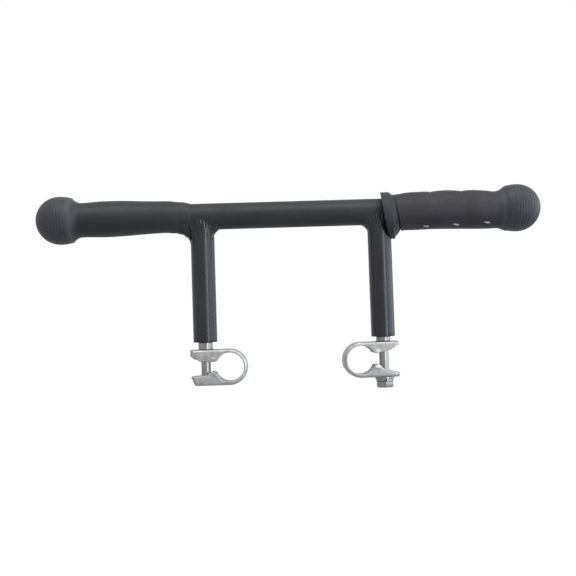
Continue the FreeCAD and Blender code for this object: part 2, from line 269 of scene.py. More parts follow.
def range_node(tree, value, low, high, start=0.3, end=0.7):
    """Spread a noise value over a range."""
    spread = tree.nodes.new("ShaderNodeMapRange")
    spread.inputs["From Min"].default_value = start
    spread.inputs["From Max"].default_value = end
    spread.inputs["To Min"].default_value = low
    spread.inputs["To Max"].default_value = high
    tree.links.new(value, spread.inputs["Value"])
    return spread.outputs["Result"]


def bump_node(tree, height, strength, distance, below=None):
    """Add a bump from a height value, on top of another one if given."""
    bump = tree.nodes.new("ShaderNodeBump")
    bump.inputs["Strength"].default_value = strength
    bump.inputs["Distance"].default_value = distance
    tree.links.new(height, bump.inputs["Height"])
    if below is not None:
        tree.links.new(below, bump.inputs["Normal"])
    return bump.outputs["Normal"]


def mix_node(tree, factor, first, second, blend="MIX"):
    """Mix two colours; each value is a constant or the output of another node."""
    mix = tree.nodes.new("ShaderNodeMix")
    mix.data_type = "RGBA"
    mix.blend_type = blend
    colour_a, colour_b, colour_result = 6, 7, 2
    wiring = ((mix.inputs["Factor"], factor), (mix.inputs[colour_a], first), (mix.inputs[colour_b], second))
    for socket, value in wiring:
        if isinstance(value, bpy.types.NodeSocket):
            tree.links.new(value, socket)
        else:
            socket.default_value = value
    return mix.outputs[colour_result]


def from_middle(tree):
    """Give the distance along the bar from its middle."""
    place = tree.nodes.new("ShaderNodeTexCoord")
    split = tree.nodes.new("ShaderNodeSeparateXYZ")
    tree.links.new(place.outputs["Object"], split.inputs["Vector"])
    away = tree.nodes.new("ShaderNodeMath")
    away.operation = "SUBTRACT"
    away.inputs[1].default_value = BAR_CENTRE.x
    tree.links.new(split.outputs["X"], away.inputs[0])
    size = tree.nodes.new("ShaderNodeMath")
    size.operation = "ABSOLUTE"
    tree.links.new(away.outputs[0], size.inputs[0])
    return size.outputs[0]


def black_paint(name, roughness, peel, specular):
    """Black powder coat: slight orange peel, a few dull patches and fine dust."""
    material, tree, shader = new_material(name, (0.006, 0.007, 0.008), roughness, Specular_IOR_Level=specular)
    colour = ramp_node(tree, noise_node(tree, 60, 6), [
        (0.35, (0.0065, 0.0070, 0.0098)),
        (0.60, (0.0092, 0.0102, 0.0140)),
        (0.85, (0.0150, 0.0170, 0.0210)),
    ])
    tree.links.new(colour, shader.inputs["Base Color"])
    dull = range_node(tree, noise_node(tree, 35, 5), roughness * 0.82, roughness * 1.3)
    tree.links.new(dull, shader.inputs["Roughness"])
    waves = bump_node(tree, noise_node(tree, 420, 2), peel, 0.08 * MM)
    specks = bump_node(tree, noise_node(tree, 2600, 3), peel * 0.2, 0.01 * MM, waves)
    tree.links.new(specks, shader.inputs["Normal"])
    return material


def grip_rubber(name, base, ring, roughness=0.5, specular=0.42):
    """Moulded black rubber: matte, finely pitted, paler on the ball ends.

    It carries a painted highlight, a narrow pale ring at a distance of ring from the bar's middle.
    """
    material, tree, shader = new_material(name, base, roughness, Specular_IOR_Level=specular)
    low = tuple(0.70 * level for level in base)
    high = tuple(1.5 * level for level in base)
    body = ramp_node(tree, noise_node(tree, 45, 7, 0.6), [(0.3, low), (0.55, base), (0.8, high)])
    # A paler colour on the ball ends.
    ball_tone = ramp_node(tree, noise_node(tree, 90, 6, 0.6), [
        (0.3, (0.016, 0.018, 0.024)),
        (0.8, (0.032, 0.036, 0.045)),
    ])
    distance = from_middle(tree)
    on_ball = range_node(tree, distance, 0, 1, 176 * MM, 186 * MM)
    half_highlight = 2.2 * MM
    # Painted highlight: a narrow pale ring round the grip's neck.
    painted_highlight = ramp_node(tree, distance, [
        (ring - half_highlight, grey(0.0)),
        (ring, grey(0.55)),
        (ring + half_highlight, grey(0.0)),
    ])
    colour = mix_node(tree, on_ball, body, ball_tone)
    tree.links.new(mix_node(tree, painted_highlight, colour, (0.060, 0.063, 0.075, 1)), shader.inputs["Base Color"])
    worn = range_node(tree, noise_node(tree, 28, 6, 0.6), roughness * 0.84, roughness * 1.16)
    tree.links.new(worn, shader.inputs["Roughness"])
    pits = bump_node(tree, noise_node(tree, 1900, 4, 0.6), 0.28, 0.05 * MM)
    swells = bump_node(tree, noise_node(tree, 220, 3), 0.25, 0.10 * MM, pits)
    tree.links.new(swells, shader.inputs["Normal"])
    return material


def plated_steel(name, base, roughness, grain, marking):
    """Zinc-plated steel: mottled grey with faint yellow and blue, drawing marks and small pits."""
    material, tree, shader = new_material(name, base, roughness, metallic=1.0)
    dark = tuple(0.58 * level for level in base)
    warm = (base[0] * 0.95, base[1] * 0.91, base[2] * 0.84)
    pale = tuple(min(1.2 * level, 1) for level in base)
    mottle = noise_node(tree, 190, 8, 0.65)
    colour = ramp_node(tree, mottle, [(0.28, dark), (0.45, warm), (0.60, base), (0.78, pale)])
    tree.links.new(colour, shader.inputs["Base Color"])
    patches = range_node(tree, noise_node(tree, 260, 6, 0.6), roughness * 0.75, roughness * 1.45)
    tree.links.new(patches, shader.inputs["Roughness"])
    marks = bump_node(tree, noise_node(tree, 900, 5, 0.6, grain), 0.12 * marking, 0.03 * MM)
    dents = bump_node(tree, noise_node(tree, 150, 3), 0.25 * marking, 0.15 * MM, marks)
    tree.links.new(dents, shader.inputs["Normal"])
    return material


def bare_weld(name):
    """Bare steel, browned by heat."""
    material, tree, shader = new_material(name, grey(0.25), 0.5, metallic=1.0)
    colour = ramp_node(tree, noise_node(tree, 300, 6), [
        (0.3, (0.06, 0.05, 0.045)),
        (0.5, (0.20, 0.16, 0.12)),
        (0.7, (0.32, 0.31, 0.31)),
    ])
    tree.links.new(colour, shader.inputs["Base Color"])
    rough = bump_node(tree, noise_node(tree, 800, 5), 0.4, 0.10 * MM)
    tree.links.new(rough, shader.inputs["Normal"])
    return material


def plug_plastic(name):
    """Black moulded plastic with a fine spark texture."""
    material, tree, shader = new_material(name, grey(0.03), 0.5)
    colour = ramp_node(tree, noise_node(tree, 120, 4), [(0.3, grey(0.02)), (0.7, grey(0.045))])
    tree.links.new(colour, shader.inputs["Base Color"])
    spark = bump_node(tree, noise_node(tree, 3000, 2), 0.3, 0.03 * MM)
    tree.links.new(spark, shader.inputs["Normal"])
    return material


SATIN_PAINT = black_paint("satin_black_paint", 0.46, 0.30, 0.44)
GLOSS_PAINT = black_paint("gloss_black_paint", 0.25, 0.03, 0.5)
WELD_PAINT = black_paint("weld_black_paint", 0.20, 0.55, 0.5)
RIGHT_RUBBER = grip_rubber("right_grip_rubber", (0.0135, 0.0125, 0.0190), 180.3 * MM)
LEFT_RUBBER = grip_rubber("left_grip_rubber", (0.0110, 0.0120, 0.0140), 183.5 * MM)
# Pale rubber whose colour paints highlights on the finger stops. Its painted highlight ring lies at the ball,
# which no finger stop reaches.
PAINTED_GLINT_RUBBER = grip_rubber("painted_glint_rubber", (0.240, 0.240, 0.250), 200 * MM, 0.2, 1.0)
CLAMP_ZINC = plated_steel("clamp_zinc_plate", (0.43, 0.44, 0.45), 0.42, (1, 1, 1), 0.7)
BOLT_ZINC = plated_steel("bolt_zinc_plate", (0.31, 0.31, 0.33), 0.25, (1, 1, 0.15), 0.12)
BARE_STEEL = bare_weld("bare_steel")
PLUG_PLASTIC = plug_plastic("plug_plastic")


def boolean_cut(mesh, tool_mesh):
    """Cut one closed mesh away from another."""
    tool = bpy.data.objects.new("cut_tool", tool_mesh)
    blank = bpy.data.objects.new("cut_blank", mesh)
    for item in (tool, blank):
        bpy.context.scene.collection.objects.link(item)
    cut = blank.modifiers.new("cut", "BOOLEAN")
    cut.operation = "DIFFERENCE"
    cut.solver = "EXACT"
    cut.object = tool
    bpy.context.view_layer.update()
    result = bpy.data.meshes.new_from_object(blank.evaluated_get(bpy.context.evaluated_depsgraph_get()))
    work = bmesh.new()
    work.from_mesh(result)
    work.to_mesh(mesh)
    work.free()
    for item in (tool, blank):
        bpy.data.objects.remove(item)


def post_clearance(side):
    """Make the room that the post and its weld take from the grip beside them."""
    radius = POST_RADIUS + 0.25 * MM
    reach = 3.6 * MM
    root = -BAR_RADIUS * 0.96
    low = -BAR_RADIUS - 14 * MM
    top = root + 4 * MM
    steps = 6
    profile = [(low, 0.0), (low, radius), (root - reach, radius)]
    for step in range(1, steps + 1):
        angle = math.pi / 2 * step / steps
        profile.append((root - reach + reach * math.sin(angle), radius + reach * (1 - math.cos(angle))))
    profile += [(top, radius + reach), (top, 0.0)]
    centre = Vector((POST_X[side], 0, BAR_CENTRE.z))
    return grid_mesh(f"{side}_clearance", lathe(profile, centre, UP, 72))


# ---------------------------------------------------------------- grips

# Sizes of the grips are in millimetres, and places are distances from the bar's middle.
BALL_RADIUS = 20.18
BALL_OFFSET = 193.5
BALL_INNER_HALF = 27.3
SHOULDER = -10.0
RIB_FIRST = -5.6
RIB_PITCH = 2.6
RIB_COUNT = 8
RIB_DEPTH = 0.33
RIB_SHARPNESS = 3
RIDGE_PLACE = SHOULDER - 0.8
RIDGE_HEIGHT = 0.35
RIDGE_WIDTH = 0.7
NECK_FLARE = 2.4
BORE_END = 191.0
GRIP_SEGMENTS = 128


def ball_radius(offset):
    """Give the ball's radius at a distance from its centre, with its ribs and shoulder ridge."""
    half = BALL_INNER_HALF if offset < 0 else BALL_RADIUS
    radius = BALL_RADIUS * math.sqrt(max(1 - (offset / half) ** 2, 0))
    turns = (offset - RIB_FIRST) / RIB_PITCH
    if -0.5 < turns < RIB_COUNT - 0.5:
        radius -= RIB_DEPTH * max(0.0, math.cos(FULL_TURN * turns)) ** RIB_SHARPNESS
    radius += RIDGE_HEIGHT * math.exp(-((offset - RIDGE_PLACE) / RIDGE_WIDTH) ** 2)
    return radius


def ball_profile(neck_place, neck_radius):
    """List the grip's profile from its neck over the ball's shoulder to the tip."""
    profile = []
    shoulder_radius = ball_radius(SHOULDER)
    start = neck_place - BALL_OFFSET
    neck_steps = 14
    for step in range(neck_steps):
        t = step / neck_steps
        offset = start + (SHOULDER - start) * t
        radius = neck_radius + (shoulder_radius - neck_radius) * t ** NECK_FLARE
        profile.append((BALL_OFFSET + offset, radius))
    steps = 110
    for step in range(steps):
        t = step / steps
        offset = SHOULDER + (BALL_RADIUS - SHOULDER) * math.sin(t * math.pi / 2)
        profile.append((BALL_OFFSET + offset, ball_radius(offset)))
    profile.append((BALL_OFFSET + BALL_RADIUS, 0.0))
    return profile


def bore_profile(start, bore):
    """List the blind bore from its bottom back to the grip's mouth."""
    steps = 30
    profile = [(BORE_END, 0.0), (BORE_END, bore)]
    for step in range(1, steps + 1):
        profile.append((BORE_END + (start - BORE_END) * step / steps, bore))
    return profile


def grip_piece(side, profile, shape, material):
    """Turn a closed grip profile (millimetres from the bar's middle) and bend it with shape."""
    along = Vector((OUTWARD[side], 0, 0))
    outer_end = next(i for i, (_, radius) in enumerate(profile) if radius == 0)
    shells = (profile[:outer_end + 1], profile[outer_end + 1:])
    rows = []
    for shell in shells:
        scaled = [(distance * MM, radius * MM) for distance, radius in shell]
        rows.append(lathe(scaled, Vector((0, 0, 0)), along, GRIP_SEGMENTS))
    outer, inner = rows
    mesh = join_parts(f"{side}_grip_mesh", [(outer, {}), (inner, {})])
    whole = bmesh.new()
    whole.from_mesh(mesh)
    open_edges = [edge for edge in whole.edges if edge.is_boundary]
    bmesh.ops.bridge_loops(whole, edges=open_edges)
    bmesh.ops.recalc_face_normals(whole, faces=whole.faces)
    for vertex in whole.verts:
        vertex.co = BAR_CENTRE + shape(vertex.co.copy())
    whole.to_mesh(mesh)
    whole.free()
    boolean_cut(mesh, post_clearance(side))
    add_piece(f"{side}_grip_moulding", mesh, "bar", f"{side}_grip", material)


COLLAR_START = 80.0
COLLAR_WIDTH = 10.6
COLLAR_RADIUS = 19.9
COLLAR_CHAMFER = 3.4
COLLAR_DROP = 2.6
COLLAR_TUCK = 3.6
COLLAR_LEAN = math.tan(math.radians(9))
COLLAR_YAW = math.tan(math.radians(9.5))
FINGER_FIRST = 92.6
FINGER_PITCH = 26.6
FINGER_COUNT = 3
FINGER_VALLEY = 15.5
FINGER_HEIGHT = 1.15
FINGER_FULLNESS = 0.8
# How far the grip's lower and upper sides stand out from its round profile, as (place, height).
GRIP_UNDERSIDE = [(92.6, 0.9), (104.0, 0.9), (120.0, 0.6), (170.0, 1.6), (180.0, 1.2), (186.0, 0.0)]
GRIP_TOPSIDE = [
    (92.6, -0.9), (106.0, -0.8), (119.0, 0.0), (146.0, 0.0), (170.0, -1.0), (176.0, -0.9), (184.0, 0.0),
]
# The finger stops, as (place, angle in degrees from level at the front; below is negative).
STOPS = ((113.6, -61), (138.9, -56), (164.9, -50))


def finger_hump(place):
    """Give the height of the finger humps at a distance from the bar's middle."""
    turns = (place - FINGER_FIRST) / FINGER_PITCH
    if turns <= 0 or turns >= FINGER_COUNT:
        return 0.0
    return FINGER_HEIGHT * (1 - (2 * (turns % 1.0) - 1) ** 2) ** FINGER_FULLNESS


def right_grip():
    """Make the right grip: leaning collar, groove, three finger humps and the ribbed ball."""
    bore = BAR_RADIUS / MM
    end = COLLAR_START + COLLAR_WIDTH
    collar = rounded([
        (COLLAR_START, bore),
        (COLLAR_START, COLLAR_RADIUS),
        (end - COLLAR_CHAMFER, COLLAR_RADIUS),
        (end - 0.9, 17.4),
        (end - 0.3, 17.3),
        (end, 16.6),
        (end + 0.2, 14.9),
        (end + 1.1, 14.8),
        (end + 1.4, 15.7),
        (FINGER_FIRST, FINGER_VALLEY),
    ], 0.9, 5)
    steps = 34
    humps = []
    for step in range(1, FINGER_COUNT * steps + 1):
        place = FINGER_FIRST + FINGER_PITCH * step / steps
        humps.append((place, FINGER_VALLEY + finger_hump(place)))
    end_place = FINGER_FIRST + FINGER_COUNT * FINGER_PITCH
    profile = collar + humps + ball_profile(end_place + 1.0, FINGER_VALLEY) + bore_profile(COLLAR_START, bore)

    def bend(point):
        """Lean and tuck the collar, shape the upper and lower sides, and keep the humps on top only."""
        place = point.x / MM
        radius = math.hypot(point.y, point.z)
        outside = smooth_step(bore * 1.01, bore * 1.25, radius / MM)
        up = point.z / max(radius, MM)
        leaning = (1 - smooth_step(end + 1.0, end + 7.0, place)) * outside
        if radius > bore * MM * 1.01:
            flattened = -0.92 * finger_hump(place) * (1 - smooth_step(0.05, 0.9, up))
            lowered = through(GRIP_UNDERSIDE, place) * max(0.0, -up)
            raised = through(GRIP_TOPSIDE, place) * max(0.0, up)
            growth = 1 + (flattened + lowered + raised) * MM / radius
            point.y *= growth
            point.z *= growth
        on_collar = leaning * smooth_step(14.8, 18.0, radius / MM)
        below = smooth_step(0.2, 1.0, -up) * smooth_step(COLLAR_START + 3, end, place)
        tuck = COLLAR_TUCK * MM * below * on_collar
        point.x += (COLLAR_YAW * point.y - COLLAR_LEAN * point.z) * leaning - tuck
        point.z -= COLLAR_DROP * MM * on_collar
        return point

    grip_piece("right", profile, bend, RIGHT_RUBBER)
    finger_stops()


def finger_stops():
    """Make the three small ridges low on the front of the right grip, flat on top, whose pale colour is a
    painted highlight.
    """
    parts = []
    half_length, half_height, thickness = 2.7, 1.15, 0.45
    slope = 0.35
    proud = 0.15
    steps = 12
    columns = 24
    facing = math.radians(24)
    face = Vector((0, -math.cos(facing), math.sin(facing)))
    rise = Vector((0, face.z, -face.y))
    for place, angle in STOPS:
        turn = math.radians(angle)
        seat = FINGER_VALLEY + through(GRIP_UNDERSIDE, place) * math.sin(-turn) + proud
        spot = Vector((place, -seat * math.cos(turn), seat * math.sin(turn)))
        rows = []
        for step in range(steps + 1):
            around = math.pi * step / steps
            girth = math.sin(around) if 0 < step < steps else 0.0
            along = Vector((-half_length * math.cos(around), 0, slope * math.cos(around)))
            count = columns if girth else 1
            row = []
            for column in range(count):
                turned = FULL_TURN * column / count
                across = rise * (half_height * math.cos(turned)) + face * (thickness * math.sin(turned))
                row.append(BAR_CENTRE + (spot + along + across * girth) * MM)
            rows.append(row)
        parts.append((rows, {}))
    mesh = join_parts("finger_stops_mesh", parts)
    add_piece("right_grip_finger_stops", mesh, "bar", "right_grip", PAINTED_GLINT_RUBBER)


LEFT_START = 84.2
LEFT_LIP = 0.5
LEFT_SHAPE = [(84.2, 11.5), (92.0, 12.0), (104.0, 12.8), (156.0, 14.9), (172.5, 14.5)]
LEFT_CROWN = [(84.2, 0.0), (92.0, 0.9), (108.0, 1.3), (130.0, 1.0), (160.0, 0.5), (176.0, 0.0)]
BOOT_RISE = [(84.2, 10.5), (86.5, 6.2), (92.0, 2.6), (98.0, 0.9), (105.0, 0.0)]


def left_grip():
    """Make the left grip: smooth, slightly swollen, with its mouth spread over the post's weld."""
    bore = BAR_RADIUS / MM
    body = [(LEFT_START, bore), (LEFT_START + 0.1, LEFT_SHAPE[0][1] - 0.3)]
    steps = 90
    last = LEFT_SHAPE[-1][0]
    for step in range(steps + 1):
        place = LEFT_START + LEFT_LIP + (last - LEFT_START - LEFT_LIP) * step / steps
        body.append((place, through(LEFT_SHAPE, place)))
    profile = body + ball_profile(last + 2.5, LEFT_SHAPE[-1][1]) + bore_profile(LEFT_START, bore)

    def boot(point):
        """Crown the grip's upper side, and draw its mouth down over the weld."""
        radius = math.hypot(point.y, point.z)
        if radius < bore * MM * 1.02:
            return point
        place = abs(point.x) / MM
        up = point.z / radius
        point.z += through(LEFT_CROWN, place) * MM * max(0.0, up)
        point.z -= through(BOOT_RISE, place) * MM * smooth_step(0.55, 1.0, -up)
        return point

    grip_piece("left", profile, boot, LEFT_RUBBER)


# ---------------------------------------------------------------- painted tube, posts and welds

def cross_tube():
    """Make the cross tube as a closed, hollow shell."""
    wall = 1.8 * MM
    steps = 60
    outer = [(-TUBE_END + 2 * TUBE_END * step / steps, BAR_RADIUS) for step in range(steps + 1)]
    inner = [(distance, BAR_RADIUS - wall) for distance, _ in outer[::-1]]
    rows = lathe(outer + inner, BAR_CENTRE, Vector((1, 0, 0)), 96)
    mesh = grid_mesh("cross_tube_mesh", rows, close_rows=True)
    add_piece("cross_tube_painted", mesh, "bar", "cross_tube", SATIN_PAINT)


def saddle_drop(across):
    """Give how far below the bar's axis its surface is, at a distance from the middle plane."""
    return math.sqrt(BAR_RADIUS ** 2 - min(abs(across), BAR_RADIUS) ** 2)


def post(side):
    """Make one post: hollow, with a rounded foot and a top that fits the cross tube."""
    wall = 2.0 * MM
    bevel = 0.5 * MM
    count = 96
    steps = 40
    centre = Vector((POST_X[side], 0, 0))
    rows = []
    outer = [(0, POST_RADIUS - bevel), (bevel * 0.3, POST_RADIUS - bevel * 0.3), (bevel, POST_RADIUS)]
    for height, radius in [(0, POST_RADIUS - wall)] + outer:
        rows.append(post_ring(centre, radius, count, lambda across, h=height: FOOT_Z + h))
    shares = [step / steps for step in range(1, steps + 1)]
    for radius, climb in ((POST_RADIUS, shares), (POST_RADIUS - wall, shares[::-1])):
        for share in climb:
            rows.append(post_ring(centre, radius, count, lambda across, s=share: up_post(across, bevel, s)))
    mesh = grid_mesh(f"{side}_post_mesh", rows, close_rows=True)
    add_piece(f"{side}_post_painted", mesh, "bar", f"{side}_post", GLOSS_PAINT)


def up_post(across, start, share):
    """Give the height of a point part of the way from the foot to the saddle."""
    top = BAR_CENTRE.z - saddle_drop(across)
    return FOOT_Z + start + (top - FOOT_Z - start) * share


def post_ring(centre, radius, count, height):
    """Give one ring of points round a post, each at its own height."""
    ring = []
    for step in range(count):
        angle = FULL_TURN * step / count
        across = radius * math.sin(angle)
        ring.append(centre + Vector((radius * math.cos(angle), across, height(across))))
    return ring


WELD_RIPPLES = 27
WELD_RIPPLE_HEIGHT = 0.22 * MM
WELD_RIPPLE_BOW = 2.2
WELD_LUMP = 0.55 * MM
WELD_LUMPS_PER_METRE = 240
WELD_CROWN = 0.25 * MM
# Each leg, in millimetres: its length on the inner side, and how much that grows towards the outer side.
WELD_ALONG_TUBE = {"left": (5.6, 3.4), "right": (5.4, -2.2)}
WELD_DOWN_POST = {"left": (5.4, 7.0), "right": (5.2, 0.6)}
# The random seed and the number of drops of spatter.
SPATTER = {"left": (7, 26), "right": (11, 14)}
# One drop, as (distance out of the post, radius) for a size of 1.
SPATTER_CAP = [(-0.4, 0.0), (-0.35, 0.8), (0.15, 1.0), (0.5, 0.75), (0.72, 0.0)]


def weld_legs(side, angle):
    """Give the weld's reach along the tube and down the post at an angle round the post."""
    outer = max(0.0, math.cos(angle) * OUTWARD[side]) ** 2
    legs = (WELD_ALONG_TUBE[side], WELD_DOWN_POST[side])
    return tuple((length + growth * outer) * MM for length, growth in legs)


def weld_point(side, angle, share):
    """Give a point on the weld's face, from its toe on the tube to its toe on the post."""
    along_tube, down_post = weld_legs(side, angle)
    reach_x = POST_RADIUS * math.cos(angle)
    around = math.asin(POST_RADIUS * math.sin(angle) / BAR_RADIUS)
    root = Vector((reach_x, BAR_RADIUS * math.sin(around), -BAR_RADIUS * math.cos(around)))
    toe_angle = around + along_tube * math.sin(angle) / BAR_RADIUS
    toe_x = reach_x + along_tube * math.cos(angle)
    toe = Vector((toe_x, BAR_RADIUS * math.sin(toe_angle), -BAR_RADIUS * math.cos(toe_angle)))
    foot = root - Vector((0, 0, down_post))
    pull = root * 0.72 + (toe + foot) * 0.14
    flat = toe * (1 - share) ** 2 + pull * 2 * share * (1 - share) + foot * share ** 2
    out = Vector((math.cos(angle), math.sin(angle), -0.9)).normalized()
    phase = angle * WELD_RIPPLES + WELD_RIPPLE_BOW * math.cos((share - 0.5) * math.pi)
    lump = noise.noise(flat * WELD_LUMPS_PER_METRE) * WELD_LUMP
    raised = WELD_RIPPLE_HEIGHT * math.sin(phase) + lump + WELD_CROWN
    return flat + out * (raised * math.sin(share * math.pi))


def weld_bead(side):
    """Make the rippled fillet weld between post and tube, with drops of spatter beside it."""
    centre = Vector((POST_X[side], 0, BAR_CENTRE.z))
    around = 260
    across = 14
    rows = []
    for step in range(around):
        angle = FULL_TURN * step / around
        row = [centre + weld_point(side, angle, share / across) for share in range(across + 1)]
        hidden = Vector((math.cos(angle), math.sin(angle), 0)) * (1.2 * MM)
        row.append(row[-1] - hidden)
        row.append(row[0] - hidden * 2 + UP * MM)
        rows.append(row)
    parts = [(rows, {"close_rows": True})] + [(drop, {}) for drop in spatter(side, centre)]
    mesh = join_parts(f"{side}_weld_mesh", parts)
    add_piece(f"{side}_post_weld_bead", mesh, "bar", f"{side}_post_weld", WELD_PAINT, 70)


def spatter(side, centre):
    """Make small painted drops of weld metal on the post, just below the bead."""
    seed, count = SPATTER[side]
    chance = random.Random(seed)
    drops = []
    for _ in range(count):
        angle = chance.uniform(-math.pi, 0)
        size = chance.uniform(0.22, 0.62) * MM
        drop = chance.uniform(5.0, 13.5) * MM
        spot = centre + Vector((POST_RADIUS * math.cos(angle), POST_RADIUS * math.sin(angle), 0))
        spot.z -= saddle_drop(POST_RADIUS * math.sin(angle)) + drop
        out = Vector((math.cos(angle), math.sin(angle), 0))
        cap = [(distance * size, radius * size) for distance, radius in SPATTER_CAP]
        drops.append(lathe(cap, spot, out, 10))
    return drops


def insert_weld(side):
    """Make the ring of weld that fills the foot round the threaded insert."""
    low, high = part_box(f"{side}_insert_weld")
    outer = (high.x - low.x) / 2
    inner = outer * 0.53
    depth = high.z - low.z
    ripples = 21
    count = 120
    across = 8
    rows = []
    for step in range(count):
        angle = FULL_TURN * step / count
        out = Vector((math.cos(angle), math.sin(angle), 0))
        centre = Vector((POST_X[side], 0, 0))
        row = []
        for share in range(across + 1):
            t = share / across
            ripple = 0.8 + 0.15 * math.sin(angle * ripples + 3 * t)
            sag = math.sin(t * math.pi) ** 0.6 * depth * ripple
            row.append(centre + out * (inner + (outer - inner) * t) + Vector((0, 0, high.z - sag)))
        row.append(centre + out * outer + Vector((0, 0, high.z)))
        row.append(centre + out * inner + Vector((0, 0, high.z + 0.2 * MM)))
        rows.append(row)
    mesh = grid_mesh(f"{side}_insert_weld_mesh", rows, close_rows=True)
    add_piece(f"{side}_insert_weld_bead", mesh, "bar", f"{side}_insert_weld", BARE_STEEL, 60)


# ---------------------------------------------------------------- clamps

# Sizes of the clamps are in millimetres. FLANGE_GAP and END_SLANT go by side, and True is the upper ear.
STRAP = 3.0
FLANGE = 2.5
OUTER_BEND = 2.4
INNER_BEND = 0.9
EDGE_ROUND = 0.55
END_CORNER = 4.0
FLANGE_SET_IN = 0.7
RIM_RISE = 0.25
RIM_SLOPE = 0.7
SLANT_LENGTH = 9
SLANT_DEPTH = 8.0
# Outline of the flange's free edge, as (distance towards the ear's end, height), both from the seat's axis.
FLANGE_GAP = {
    ("left", True): [(10.9, 5.0), (13.0, 4.6), (23.5, 5.0), (28.0, 7.0), (32.5, 9.4)],
    ("left", False): [(11.2, 4.3), (14.4, 3.6), (20.0, 6.4), (26.0, 7.0), (32.5, 7.4)],
    ("right", True): [(10.6, 5.6), (13.8, 5.4), (17.0, 5.9), (22.9, 7.6), (32.5, 11.6)],
    ("right", False): [(11.2, 4.3), (14.6, 4.4), (19.6, 7.9), (24.5, 9.5), (32.5, 11.3)],
}
END_SLANT = {("left", True): 0.0, ("left", False): 3.4, ("right", True): 0.6, ("right", False): 0.6}


def arc(centre, radius, start, end, steps=5):
    """List points on an arc between two angles in degrees."""
    points = []
    for step in range(steps + 1):
        angle = math.radians(start + (end - start) * step / steps)
        points.append((centre[0] + radius * math.cos(angle), centre[1] + radius * math.sin(angle)))
    return points


def strap_section(half_width, depth, set_in=0.0, rim=0.0):
    """List half the strap's section as (across, inward): the plate and one flange of a given depth.

    The flange's face is set in from the strap's edge, except for a rim along its free edge.
    """
    tip = EDGE_ROUND
    face = half_width - set_in
    edge = face + rim
    wall = FLANGE
    flange = max(0.0, depth - STRAP)
    inner_tip = min(tip, flange)
    bend = min(INNER_BEND, max(0.0, flange - inner_tip))
    bow = min(OUTER_BEND, depth - tip)
    apart = 0.005
    step_end = max(bow + 4 * apart, depth - STRAP + RIM_RISE)
    step_start = max(bow + 2 * apart, step_end - RIM_SLOPE)
    step_end = min(step_end, depth - tip - 4 * apart)
    step_start = min(step_start, step_end - apart)
    points = [(0.0, 0.0), ((face - bow) * 0.6, 0.0)]
    points += arc((face - bow, min(bow, step_start - apart)), bow, -90, 0)
    points = [(across, max(inward, 0.0)) for across, inward in points]
    points += [(face, step_start), (face + rim * 0.5, (step_start + step_end) / 2), (edge, step_end)]
    points += arc((edge - tip, depth - tip), tip, 0, 90, 3)
    points += arc((face - wall + inner_tip, depth - inner_tip), inner_tip, 90, 180, 3)
    points += arc((face - wall - bend, STRAP + bend), bend, 0, -90, 3)
    points += [((face - wall - bend) * 0.5, STRAP), (0.0, STRAP)]
    return points


def strap_row(half, place, normal, slant=0.0):
    """Set a section at a place of the strap's outer line; x and z are in the clamp's plane."""
    loop = half + [(-across, inward) for across, inward in half[-2:0:-1]]
    row = []
    for across, inward in loop:
        back = slant * (1 - min(inward / SLANT_DEPTH, 1.0))
        row.append(Vector((place[0] + back + normal[0] * inward, across, place[1] + normal[1] * inward)) * MM)
    return row


def flange_depth(side, upper, distance):
    """Give the flange's depth at a distance from the seat's axis towards the ear's free end."""
    seat = SEAT_RADIUS / MM
    outer = seat + STRAP
    gap_points = FLANGE_GAP[side, upper]
    if distance < gap_points[0][0]:
        return outer - math.sqrt(seat ** 2 - distance ** 2)
    return outer - through(gap_points, distance)


def ear_rows(side, reach, upper):
    """List the strap's rows along one ear, from its free end to the bend."""
    outer = SEAT_RADIUS / MM + STRAP
    sign = 1 if upper else -1
    half = STRAP_WIDTH / MM / 2
    rows = []
    steps = 96
    for step in range(steps):
        distance = reach * (1 - (step / steps))
        past = max(0.0, distance - (reach - END_CORNER))
        narrower = END_CORNER - math.sqrt(max(END_CORNER ** 2 - past ** 2, 0.0))
        half_width = half - min(narrower, END_CORNER * 0.8)
        set_in = FLANGE_SET_IN * smooth_step(0.5, 4.5, distance)
        rim = set_in * (1 - smooth_step(11.5, 16.5, distance))
        slant = END_SLANT[side, upper] * smooth_step(reach - SLANT_LENGTH, reach, distance)
        section = strap_section(half_width, flange_depth(side, upper, distance), set_in, rim)
        rows.append(strap_row(section, (-distance, sign * outer), (0, -sign), slant))
    return rows


def clamp(side):
    """Make one clamp strap: two flanged ears and the round bend, with a hole for the bolt."""
    low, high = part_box(f"{side}_clamp")
    reach = (SEAT[side].x - low.x if side == "left" else high.x - SEAT[side].x) / MM
    outer = SEAT_RADIUS / MM + STRAP
    half = STRAP_WIDTH / MM / 2
    rows = ear_rows(side, reach, True)
    steps = 56
    for step in range(steps + 1):
        angle = math.pi / 2 - math.pi * step / steps
        place = (outer * math.cos(angle), outer * math.sin(angle))
        rows.append(strap_row(strap_section(half, STRAP), place, (-math.cos(angle), -math.sin(angle))))
    rows += ear_rows(side, reach, False)[::-1]
    mesh = grid_mesh(f"{side}_clamp_mesh", rows, cap_ends=True)
    bolt_place = Vector((-(abs(POST_X[side] - SEAT[side].x)), 0, 0))
    drill(mesh, bolt_place, outer * MM, side == "left")
    turn = Matrix.Rotation(math.pi if side == "right" else 0, 4, "Z")
    mesh.transform(Matrix.Translation(SEAT[side]) @ turn)
    add_piece(f"{side}_clamp_strap", mesh, f"{side}_clamp", f"{side}_clamp", CLAMP_ZINC, 34)


